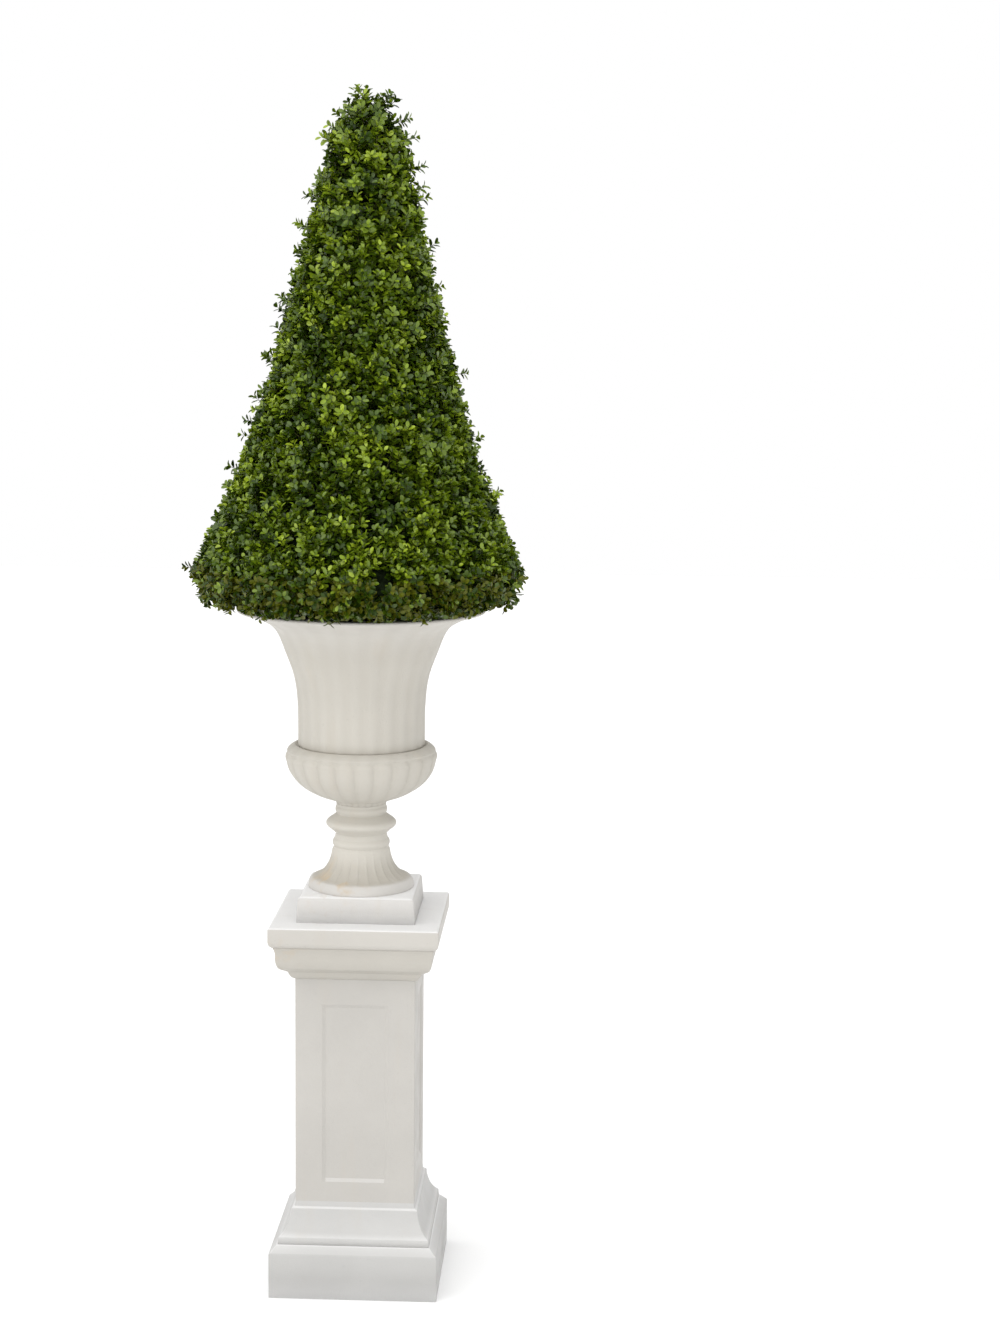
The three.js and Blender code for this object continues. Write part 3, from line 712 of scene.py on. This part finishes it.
def socle():
    """The round foot of the urn: a disc, a fluted flare and a neck with three rings."""
    disc_top = (FLARE_BOTTOM_RADIUS, FLARE_BOTTOM)
    flare_top = (FLARE_TOP_RADIUS, FLARE_TOP)
    outline = [(SOCLE_RADIUS - 0.01, FOOT_TOP), (SOCLE_RADIUS, FOOT_TOP),
               *curve((SOCLE_RADIUS, FOOT_TOP), (SOCLE_RADIUS, FLARE_BOTTOM - 0.004), disc_top, 10),
               *curve(disc_top, (FLARE_TOP_RADIUS + 0.005, FLARE_BOTTOM + 0.010), flare_top, 24),
               *ring(LOW_RING, LOW_RING_RADIUS, 0.008, FLARE_TOP_RADIUS - 0.004, NECK_RADIUS + 0.003),
               (NECK_RADIUS + 0.001, BIG_RING - 0.019),
               *ring(BIG_RING, BIG_RING_RADIUS, 0.010, NECK_RADIUS + 0.011, NECK_RADIUS + 0.010),
               *ring(TOP_RING, TOP_RING_RADIUS, 0.007, NECK_RADIUS - 0.001, NECK_RADIUS),
               (NECK_RADIUS, BOWL_BOTTOM)]

    def flutes(angle, z):
        fade = 1 - 0.75 * ramp(z, FLARE_BOTTOM + 0.006, FLARE_TOP)
        return SOCLE_FLUTE_DEPTH * fade * channel(angle, z, FLARE_BOTTOM + 0.005, FLARE_TOP - 0.004, 0.006)

    # Painted light and shade: the neck and rings are painted lighter than the urn's white, the flare
    # darker
    paint = urn_paint(
        "socle_paint", LIT_NECK_WHITE, None,
        (FLARE_SHADE, at_height(FLARE_BOTTOM + 0.010, FLARE_TOP + 0.004, 1)),
        (FOOT_WHITE, scuffs(*FLARE_PATCH)),
        (FOOT_WHITE, at_height(FLARE_BOTTOM - 0.003, FLARE_BOTTOM + 0.002, 0.75)),
        (URN_STAIN, scuffs(*FLARE_STAINS)))
    urn_piece("socle", outline, 0.0015, flutes, paint, "urn_socle")


def bowl():
    """The lower bowl, with lobes under a narrow lip."""
    across = BOWL_RADIUS - BOWL_LIP - 0.004
    down = BOWL_WAIST - BOWL_BOTTOM - 0.004
    turn = np.linspace(-0.39, -0.03, 30) * np.pi
    side = [(0.004 + across * math.cos(t), BOWL_WAIST - 0.002 + down * math.sin(t)) for t in turn]
    lip_foot = (BOWL_RADIUS, BOWL_WAIST)
    lip_top = (CUP_RADIUS + 0.005, BOWL_TOP + BOWL_LIP)
    outline = [(NECK_RADIUS, BOWL_BOTTOM), *side, lip_foot,
               *curve(lip_foot, (BOWL_RADIUS + 0.001, BOWL_TOP - 0.004), lip_top, 14),
               (CUP_RADIUS + 0.0005, BOWL_TOP), (CUP_RADIUS - 0.01, BOWL_TOP)]

    def grooves(angle, z):
        deepen = 0.35 + 0.65 * ramp(z, BOWL_BOTTOM, BOWL_BOTTOM + 0.056)
        under_lip = 1 - ramp(z, LOBE_TOP, LOBE_TOP + 0.006)
        between_lobes = 1 - channel(angle, z, 0, LOBE_TOP - 0.009, 0.012)
        return LOBE_DEPTH * deepen * under_lip * between_lobes

    # Painted shade over the bowl, strongest in the grooves between the lobes
    paint = urn_paint("bowl_paint", URN_WHITE, None, (SHADE_AND_GRIME, flute_shade(0.10, 0.24)))
    urn_piece("bowl", outline, 0.0018, grooves, paint, "urn_bowl")


def cup():
    """The bell-shaped cup, with faint flutes outside and a broad rim."""
    outside = through([
        (CUP_RADIUS, BOWL_TOP), (CUP_RADIUS + 0.001, 1.090), (CUP_RADIUS + 0.007, 1.140),
        (CUP_RADIUS + 0.022, 1.184), (CUP_RADIUS + 0.042, RIM_TOP - 0.039),
        (CUP_RADIUS + 0.073, RIM_TOP - 0.018), (RIM_RADIUS, RIM_TOP - RIM_LIP)], 14)
    inside = through([
        (RIM_INNER_RADIUS, RIM_TOP), (RIM_INNER_RADIUS - 0.022, FILL_TOP),
        (CUP_RADIUS + 0.029 - CUP_WALL, 1.205), (CUP_RADIUS + 0.004 - CUP_WALL, 1.130),
        (CUP_RADIUS - CUP_WALL, CUP_FLOOR)], 6)
    rim = [outside[-1], (RIM_RADIUS + 0.0015, RIM_TOP - RIM_LIP / 2), (RIM_RADIUS, RIM_TOP)]
    fluted = stepped(outside, 0.004)
    plain = stepped(softened([*rim, *inside], RIM_EDGE), 0.02)[1:]

    def flutes(angle, z):
        outer = np.arange(len(z)) < len(fluted)
        wave = 0.5 - 0.5 * np.cos(FLUTES * angle)
        fade = 1 - ramp(z, CUP_FLUTE_TOP - 0.040, CUP_FLUTE_TOP)
        return CUP_FLUTE_DEPTH * outer[:, None] * wave * fade

    # Darker along the corner at the cup's foot: painted shade, with some grime
    corner = (SHADE_AND_GRIME, at_height(BOWL_TOP + 0.001, BOWL_TOP + 0.022, 0.4))
    # Painted light: the cup is painted lighter below its rim, where its flaring top faces down into shade
    lit_under_rim = (PAINTED_LIGHT_WHITE, at_height(RIM_TOP - 0.020, RIM_TOP - 0.085, 0.20))
    # Painted shade along the middle of each hollow flute
    shaded_flutes = (SHADE_AND_GRIME, flute_shade(0.10, 0))
    # The rim's top, in shade under the foliage, also gets the painted highlight of surfaces that face up
    paint = urn_paint("cup_paint", URN_WHITE, CUP_LEDGES, corner, lit_under_rim, shaded_flutes)
    mesh_piece("cup", *turned([*fluted, *plain], URN_SIDES, flutes), paint, "urn", "urn_cup")


def fill_and_stem():
    ground = rough_ground("fill_ground", FILL_DARK, 60, 0.004)
    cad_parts["urn_fill"].material_slots[0].material = ground
    outline = stepped([
        (STEM_FOOT_RADIUS, FILL_TOP + 0.0003), (STEM_RADIUS, FILL_TOP + 0.030),
        (STEM_TIP_RADIUS, STEM_TOP - 0.002), (STEM_TIP_RADIUS - 0.003, STEM_TOP)], 0.004)

    def ridges(angle, z):
        return 0.0006 * (1 + np.sin(9 * angle + 40 * z) * np.sin(5 * angle - 90 * z))

    mesh_piece("stem_bark", *turned(outline, 40, ridges), bark(), "stem", "stem")


# Foliage

def lean_at(z):
    """How far the cone's axis lies towards +X at a height."""
    return LEAN * (z - LEAN_FROM)


def cone_radius(z):
    """Radius that the leaf tips reach at a height: a steep cone that flares towards its foot."""
    down = np.clip((CONE_TOP - z) / (CONE_TOP - CONE_WIDEST), 0, 1)
    crown = np.sqrt(np.minimum(1, down / CROWN_SHARE))
    cone = crown * (CONE_TOP_RADIUS + CONE_SLOPE_GAIN * down + CONE_FLARE_GAIN * down ** CONE_FLARE_POWER)
    return cone - FOOT_TUCK * np.maximum(FOOT_TURN - z, 0)


def core_outline():
    """Outline of the core under the leaves, from the foot to the top."""
    widest = float(cone_radius(FOOT_TURN)) - CORE_DEPTH
    top = CONE_TOP - CORE_TOP_DEPTH
    heights = np.linspace(FOOT_TURN, top, CORE_ROWS + 1)
    rows = [(float(cone_radius(z)) - CORE_DEPTH, z) for z in heights]
    foot = [(0.150, CONE_FOOT + 0.003), (0.196, CONE_FOOT + 0.010), (widest - 0.044, CONE_FOOT + 0.026),
            (widest - 0.012, CONE_FOOT + 0.042)]
    return [*foot, *rows, (0.004, top + 0.012)]


def core():
    """The dark inside of the cone, which swells and sinks a little. Its near-black colour is partly
    painted shade for the inside of the cone.
    """
    def lumps(angle, z):
        broad = np.sin(4 * angle - z / 0.053) + np.sin(7 * angle + z / 0.031)
        crossed = np.sin(29 * angle + z / 0.007) * np.sin(17 * angle - z / 0.011)
        fine = np.sin(11 * angle - z / 0.019) + 1.5 * crossed
        return -(LUMP_HEIGHT / 3) * (broad + fine) * ramp(z, CONE_FOOT + 0.004, CONE_FOOT + 0.03)

    vertices, faces = turned(stepped(core_outline(), 0.012), CORE_SIDES, lumps)
    leaning = [(x + lean_at(z), y, z) for x, y, z in vertices]
    dark = rough_ground("core_dark", CORE_DARK, 120, 0.006)
    mesh_piece("foliage_core", leaning, faces, dark, "leaves", "foliage")


def unit(vectors):
    """The vectors with a length of one."""
    return vectors / np.linalg.norm(vectors, axis=-1, keepdims=True)


def spray_places(count):
    """Roots spread evenly over the core, each with the way its stem grows: out, and lifted a little."""
    outline = np.array(core_outline()[1:])
    steps = np.diff(outline, axis=0)
    lengths = np.linalg.norm(steps, axis=1)
    areas = np.concatenate([[0], np.cumsum(lengths * (outline[:-1, 0] + outline[1:, 0]))])
    number = np.arange(count)
    target = (number + 0.5 + 0.3 * (rng.random(count) - 0.5)) / count * areas[-1]
    at = np.clip(np.searchsorted(areas, target) - 1, 0, len(steps) - 1)
    share = (target - areas[at]) / (areas[at + 1] - areas[at])
    radius, z = (outline[at] + share[:, None] * steps[at]).T
    angle = number * GOLDEN_ANGLE + 0.25 * (rng.random(count) - 0.5)
    slope = steps[at] / lengths[at, None]
    lift = 0.3 + 0.3 * rng.random(count)
    point = np.stack([radius * np.cos(angle) + lean_at(z), radius * np.sin(angle), z], -1)
    along = np.stack([slope[:, 1] * np.cos(angle), slope[:, 1] * np.sin(angle), lift - slope[:, 0]], -1)
    thinned = (z > CONE_TOP - CORE_TOP_DEPTH - 0.01) & (radius > CROWN_THIN_RADIUS)
    kept = ~thinned | (rng.random(count) > CROWN_THIN)
    return point[kept], unit(along[kept])


def stray_places():
    """The sprigs seen loose at the cone's edge or over the rim, and more of them all round: their roots,
    directions and extra reach, and how low their leaves may hang."""
    height = CONE_WIDEST + (CONE_TOP - CROWN_TUFT - CONE_WIDEST) * rng.random(STRAYS) ** 0.7
    turn, lift = 360 * rng.random(STRAYS), 50 * rng.random(STRAYS)
    rows = np.stack([turn, height, lift, 0.004 + 0.012 * rng.random(STRAYS)], -1)
    tufts = np.concatenate([np.array(HANGING) + step for step in TUFT])
    degrees, z, rise, reach = np.concatenate([np.array(SEEN_STRAYS), tufts, rows]).T
    angle, climb = np.radians(degrees), np.radians(rise)
    radius = np.maximum(cone_radius(z) - 0.03, 0.004)
    point = np.stack([radius * np.cos(angle) + lean_at(z), radius * np.sin(angle), z], -1)
    level = np.stack([np.cos(angle), np.sin(angle), 0 * z], -1)
    along = unit(level * np.cos(climb)[:, None] + np.array([0, 0, 1]) * np.sin(climb)[:, None])
    return point, along, reach, np.where(rise < 0, HANGING_FLOOR, LEAF_FLOOR)


def around(along):
    """Two directions square to each one given."""
    guide = np.where(np.abs(along[:, 2:]) < 0.8, [[0.0, 0.0, 1.0]], [[1.0, 0.0, 0.0]])
    first = unit(np.cross(along, guide))
    return first, np.cross(along, first)


def fork(point, along):
    """Each spray's stem forks into twigs: their feet and directions."""
    side, over = around(along)
    count = len(point)
    turn = 2 * np.pi * (rng.random((count, 1)) + np.arange(TWIGS) / TWIGS)
    turn = turn + 0.5 * rng.normal(size=(count, TWIGS))
    tilt = np.radians(TWIG_TILT + 12 * rng.normal(size=(count, TWIGS)))
    outward = np.cos(turn)[..., None] * side[:, None] + np.sin(turn)[..., None] * over[:, None]
    way = np.cos(tilt)[..., None] * along[:, None] + np.sin(tilt)[..., None] * outward
    way = way + TWIG_RISE * rng.random((count, TWIGS, 1)) * np.array([0, 0, 2])
    foot = point[:, None] + along[:, None] * (0.010 * rng.random((count, TWIGS, 1)) - 0.006)
    return foot.reshape(-1, 3), unit(way).reshape(-1, 3)


def reach_outline(foot, along, depth):
    """Lengths that bring each twig's tip to a depth under the cone's outline."""
    length = np.full(len(foot), TWIG_LENGTH)
    for _ in range(REACH_TRIES):
        tip = foot + along * length[:, None]
        over = np.hypot(tip[:, 0] - lean_at(tip[:, 2]), tip[:, 1]) - cone_radius(tip[:, 2]) + depth
        over = np.maximum(over, tip[:, 2] - CONE_TOP + depth)
        length = np.clip(length - 0.8 * over, SHORTEST_TWIG, LONGEST_TWIG)
    return length


def leaf_shape():
    """A box leaf along +X, one long: widest past its middle, folded at its midrib, and bent down at its
    end. Point 0 is its root, point 2 lies on one side, and point 7 is its tip."""
    places = ((0.26, 0.74), (0.62, 1.0), (0.90, 0.62))
    points = [(0, 0, 0)]
    for side in (-1, 1):
        points += [(x, side * width / 2, 0.09 * width - 0.14 * x * x) for x, width in places]
    points.append((1, 0, -0.14))
    faces = [(0, 2, 1), (0, 3, 2), (0, 7, 3), (0, 4, 5), (0, 5, 6), (0, 6, 7)]
    return np.array(points, float), np.array(faces)


def joined(name, copies, faces, material, slot):
    """One mesh of many copies: copies is (count, points, 3), faces are those of one copy."""
    count, size = copies.shape[:2]
    corners = (faces[None] + size * np.arange(count)[:, None, None]).ravel()
    mesh = bpy.data.meshes.new(name)
    mesh.vertices.add(count * size)
    mesh.vertices.foreach_set("co", copies.astype(np.float32).ravel())
    mesh.loops.add(len(corners))
    mesh.loops.foreach_set("vertex_index", corners.astype(np.int32))
    mesh.polygons.add(len(corners) // 3)
    mesh.polygons.foreach_set("loop_start", np.arange(0, len(corners), 3, dtype=np.int32))
    mesh.update(calc_edges=True)
    return placed(name, mesh, material, slot)


def twig_copies(foot, along, length):
    """Three-sided tapering twigs."""
    side, over = around(along)
    corners = []
    for share, radius in ((0, TWIG_RADIUS), (0.55, 0.8 * TWIG_RADIUS), (1, TWIG_TIP_RADIUS)):
        for turn in 2 * np.pi * np.arange(3) / 3:
            outward = np.cos(turn) * side + np.sin(turn) * over
            corners.append(foot + along * (share * length)[:, None] + radius * outward)
    faces = [(8, 7, 6)]
    for row in (0, 3):
        for a in range(3):
            b = (a + 1) % 3
            faces += [(row + a, row + b, row + 3 + b), (row + a, row + 3 + b, row + 3 + a)]
    return np.stack(corners, 1), np.array(faces)


def in_space(point, reach, floor):
    """True where a point lies in the cone's own space, clear of the rim of the urn."""
    x, y, z = np.moveaxis(point, -1, 0)
    radius = np.hypot(x - lean_at(z), y)
    within = (radius < cone_radius(np.maximum(z, OUTLINE_FLOOR)) + reach) | (z > CONE_TOP - CROWN_TUFT)
    over_rim = (z > RIM_TOP + 0.003) | (np.hypot(x, y) > RIM_RADIUS + 0.006)
    return within & over_rim & (z > floor)


def grow_leaves(foot, along, length, tone, reach, floor):
    """Crossed pairs of leaves down each twig from its tip: their corners, and a tone for each."""
    count = len(foot)
    side, over = around(along)
    spin = 2 * np.pi * rng.random(count)
    shape, faces = leaf_shape()
    copies, tones = [], []
    for pair, step in enumerate(PAIR_STEPS):
        down = pair / (len(PAIR_STEPS) - 1)
        spread_here = TIP_SPREAD + (LOW_SPREAD - TIP_SPREAD) * down
        for leaf in (0, 1):
            size = (0.80 + 0.24 * min(1, 2 * down)) * (0.88 + 0.24 * rng.random(count))
            spread = np.radians(spread_here + 9 * rng.normal(size=count))
            turn = spin + math.radians(pair * PAIR_TURN) + leaf * np.pi + 0.2 * rng.normal(size=count)
            outward = np.cos(turn)[:, None] * side + np.sin(turn)[:, None] * over
            way = np.cos(spread)[:, None] * along + np.sin(spread)[:, None] * outward
            flat = unit(np.cross(along, outward))
            upright = np.cross(way, flat)
            roll = 0.25 * rng.normal(size=count)[:, None]
            across = np.cos(roll) * flat + np.sin(roll) * upright
            face = np.cos(roll) * upright - np.sin(roll) * flat
            base = foot + along * np.maximum(length - step, 0.2 * length)[:, None] + LEAF_ROOT * way
            long, wide = (size * LEAF_LENGTH)[:, None, None], (size * LEAF_WIDTH)[:, None, None]
            points = base[:, None] + long * shape[:, 0, None] * way[:, None]
            points = points + wide * shape[:, 1, None] * across[:, None]
            points = points + long * shape[:, 2, None] * face[:, None]
            fits = in_space(points[:, 7], reach, floor) & in_space(points[:, 2], reach, floor)
            copies.append(points[fits])
            tones.append((tone - 0.30 * down + 0.07 * rng.normal(size=count))[fits])
    return np.concatenate(copies), np.concatenate(tones), faces


def patch_tone(point):
    """Broad patches of lighter and darker growth, about 0 on average."""
    x, y, z = point.T
    wave = np.sin(31 * x + 17 * z) * np.sin(23 * y - 29 * z + 1) + 0.7 * np.sin(57 * x - 41 * y + 61 * z)
    return 0.10 * wave


def crown_share(z):
    """0 below the crown, rising to 1 at its top."""
    return np.clip((z - CROWN_FROM) / CROWN_RISE, 0, 1)


def foliage():
    core()
    point, along = spray_places(SPRAYS)
    count = len(point)
    sway = 0.35 * (rng.random((count, 3)) - 0.5)
    along = unit(along + sway)
    foot, way = fork(point, along)
    crown = crown_share(point[:, 2])
    deep = rng.random(count) < DEEP_SHARE + 0.06 * crown
    sunk = np.repeat(0.012 * rng.random(count) + (DEEP_BY + 0.010 * crown) * deep, TWIGS)
    depth = 0.001 + sunk + 0.010 * rng.random(len(foot))
    depth = depth - 0.008 * crown_share(foot[:, 2]) * rng.random(len(foot))
    length = reach_outline(foot, way, depth)
    # Sprays that lie deep get darker leaves: painted shade
    spray_tone = SPRAY_TONE + 0.19 * rng.normal(size=count) - 0.14 * deep + patch_tone(point)
    tone = np.repeat(spray_tone, TWIGS) + 0.05 * rng.normal(size=len(foot))

    stray_foot, stray_way, stray_reach, stray_floor = stray_places()
    stray_length = reach_outline(stray_foot, stray_way, -stray_reach)
    stray_tone = STRAY_TONE + 0.15 * rng.normal(size=len(stray_foot))
    foot, way = np.concatenate([foot, stray_foot]), np.concatenate([way, stray_way])
    length, tone = np.concatenate([length, stray_length]), np.concatenate([tone, stray_tone])
    reach = np.concatenate([np.full(len(depth), 0.012), 0.014 + stray_reach])
    floor = np.concatenate([np.full(len(depth), LEAF_FLOOR), stray_floor])
    # Painted shade: darker leaves near the foot
    tone = tone - FOOT_SHADE * (1 - ramp(foot[:, 2], *FOOT_SHADE_ENDS))

    twigs, twig_faces = twig_copies(foot, way, length)
    clear = in_space(foot + way * length[:, None], reach, floor)
    twig_skin = rough_ground("twig_skin", TWIG_GREEN, 300, 0.0004)
    joined("twigs", twigs[clear], twig_faces, twig_skin, "stem")

    copies, tones, faces = grow_leaves(foot, way, length, tone, reach, floor)
    shade = np.digitize(tones, TONE_BOUNDS)
    old = (copies[:, 0, 2] < OLD_TOP) & (rng.random(len(copies)) < OLD_SHARE)
    shade[old] = list(LEAF_COLOURS).index("old")
    for kind, (name, colour) in enumerate(LEAF_COLOURS.items()):
        surface = leaf_surface("leaf_" + name, colour, DULL_SHEEN if name in DULL_LEAVES else LEAF_SHEEN)
        chosen = copies[shade == kind]
        for part, start in enumerate(range(0, len(chosen), PIECE_LEAVES)):
            piece = f"leaves_{name}_{part + 1}"
            joined(piece, chosen[start:start + PIECE_LEAVES], faces, surface, "leaves")


# Camera, light and floor

def camera():
    pan, tilt, roll = (math.radians(a) for a in (CAMERA_PAN, CAMERA_TILT, CAMERA_ROLL))
    forward = Vector((math.sin(pan) * math.cos(tilt), math.cos(pan) * math.cos(tilt), -math.sin(tilt)))
    level = Vector((math.cos(pan), -math.sin(pan), 0))
    upright = level.cross(forward)
    right = math.cos(roll) * level + math.sin(roll) * upright
    up = math.cos(roll) * upright - math.sin(roll) * level
    data = bpy.data.cameras.new("camera")
    data.sensor_width = SENSOR
    data.lens = FOCAL_HEIGHTS * SENSOR
    made = bpy.data.objects.new("camera", data)
    turn = Matrix((right, up, -forward)).transposed().to_4x4()
    made.matrix_world = Matrix.Translation(CAMERA_PLACE) @ turn
    bpy.context.scene.collection.objects.link(made)
    bpy.context.scene.camera = made


def sun(name, come_from, strength, spread):
    data = bpy.data.lights.new(name, "SUN")
    data.energy = strength
    data.angle = math.radians(spread)
    made = bpy.data.objects.new(name, data)
    made.rotation_mode = "QUATERNION"
    made.rotation_quaternion = Vector(come_from).to_track_quat("Z", "Y")
    bpy.context.scene.collection.objects.link(made)


def soft_room(tree):
    """A white backdrop, and a room that lights the scene most from above on the left in front."""
    coordinate = tree.nodes.new("ShaderNodeTexCoord")
    facing = tree.nodes.new("ShaderNodeVectorMath")
    facing.operation = "DOT_PRODUCT"
    facing.inputs[1].default_value = Vector(ROOM_BRIGHT_SIDE).normalized()
    tree.links.new(coordinate.outputs["Generated"], facing.inputs[0])
    room = ranged(tree, facing.outputs["Value"], *ROOM_STRENGTH, -0.2, 0.9)
    seen = tree.nodes.new("ShaderNodeLightPath").outputs["Is Camera Ray"]
    strength = tree.nodes.new("ShaderNodeMix")
    strength.inputs["B"].default_value = 1.0
    tree.links.new(seen, strength.inputs["Factor"])
    tree.links.new(room, strength.inputs["A"])
    tree.nodes["Background"].inputs["Color"].default_value = (1, 1, 1, 1)
    tree.links.new(strength.outputs["Result"], tree.nodes["Background"].inputs["Strength"])


def studio():
    scene = bpy.context.scene
    scene.view_settings.view_transform = "Standard"
    scene.world = bpy.data.worlds.new("studio")
    scene.world.use_nodes = True
    soft_room(scene.world.node_tree)
    sun("key", KEY_FROM, KEY_STRENGTH, KEY_SPREAD)

    floor_mesh = bpy.data.meshes.new("floor")
    corners = [(x * FLOOR_REACH, y * FLOOR_REACH, 0) for x, y in ((-1, -1), (1, -1), (1, 1), (-1, 1))]
    floor_mesh.from_pydata(corners, [], [(0, 1, 2, 3)])
    material, _, shader = new_material("floor_white", 0.9, 0.1)
    shader.inputs["Base Color"].default_value = (*FLOOR_WHITE, 1)
    floor_mesh.materials.append(material)
    floor = bpy.data.objects.new("floor", floor_mesh)
    scene.collection.objects.link(floor)


camera()
studio()
pedestal()
urn()
fill_and_stem()
foliage()
